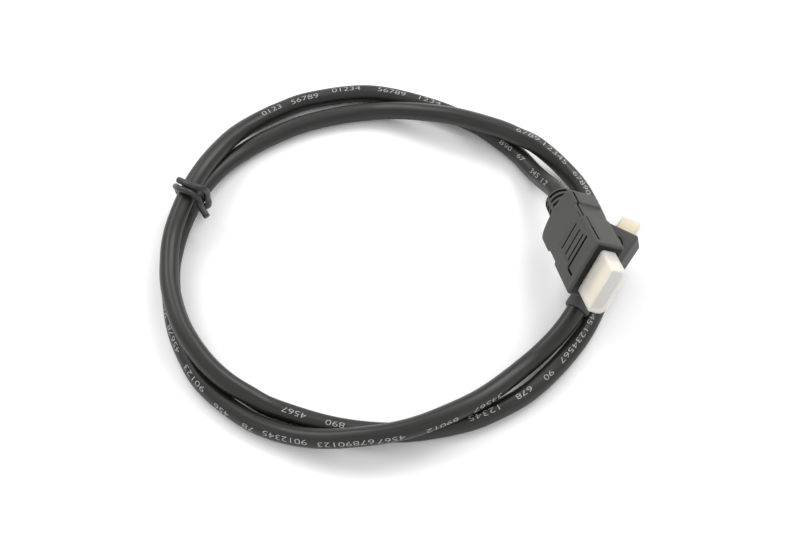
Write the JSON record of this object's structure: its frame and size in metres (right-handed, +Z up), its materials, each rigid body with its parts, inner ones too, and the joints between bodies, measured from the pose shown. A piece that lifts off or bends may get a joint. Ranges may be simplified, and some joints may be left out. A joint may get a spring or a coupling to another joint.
{
  "type": "hdmi cable",
  "caption": "Short audio and video cable laid in a round coil, with a full-size plug on one end, a micro plug on the other, a pull-off cap over each plug and a twist tie round the coil.",
  "frame": {"origin": "on the floor under the middle of the part's box", "axes": "+Z up from the floor the coil lies on; the plugs are on the +X side and the tie on the -X side"},
  "size_m": [0.1438, 0.1278, 0.0373],
  "materials": {
    "jacket": "satin black flexible plastic",
    "tie": "satin black plastic over a soft wire",
    "grip": "fine-grained dark grey moulded plastic",
    "shell": "polished gold plating",
    "insert": "black moulded plastic",
    "cap": "milky soft see-through plastic"
  },
  "bodies": {
    "cable_and_plugs": {"cable": "jacket", "twist_tie": "tie", "large_plug_grip": "grip", "large_plug_shell": "shell", "large_plug_insert": "insert", "small_plug_grip": "grip", "small_plug_shell": "shell", "small_plug_insert": "insert"},
    "large_cap": {"large_plug_cap": "cap"},
    "small_cap": {"small_plug_cap": "cap"}
  },
  "joints": [
    {"name": "large_cap_pull", "type": "slide", "parent": "cable_and_plugs", "child": "large_cap", "axis": [0.1901, -0.9113, 0.3651], "range_m": [0, 0.011]},
    {"name": "small_cap_pull", "type": "slide", "parent": "cable_and_plugs", "child": "small_cap", "axis": [0.5465, 0.8143, 0.1955], "range_m": [0, 0.0065]}
  ]
}
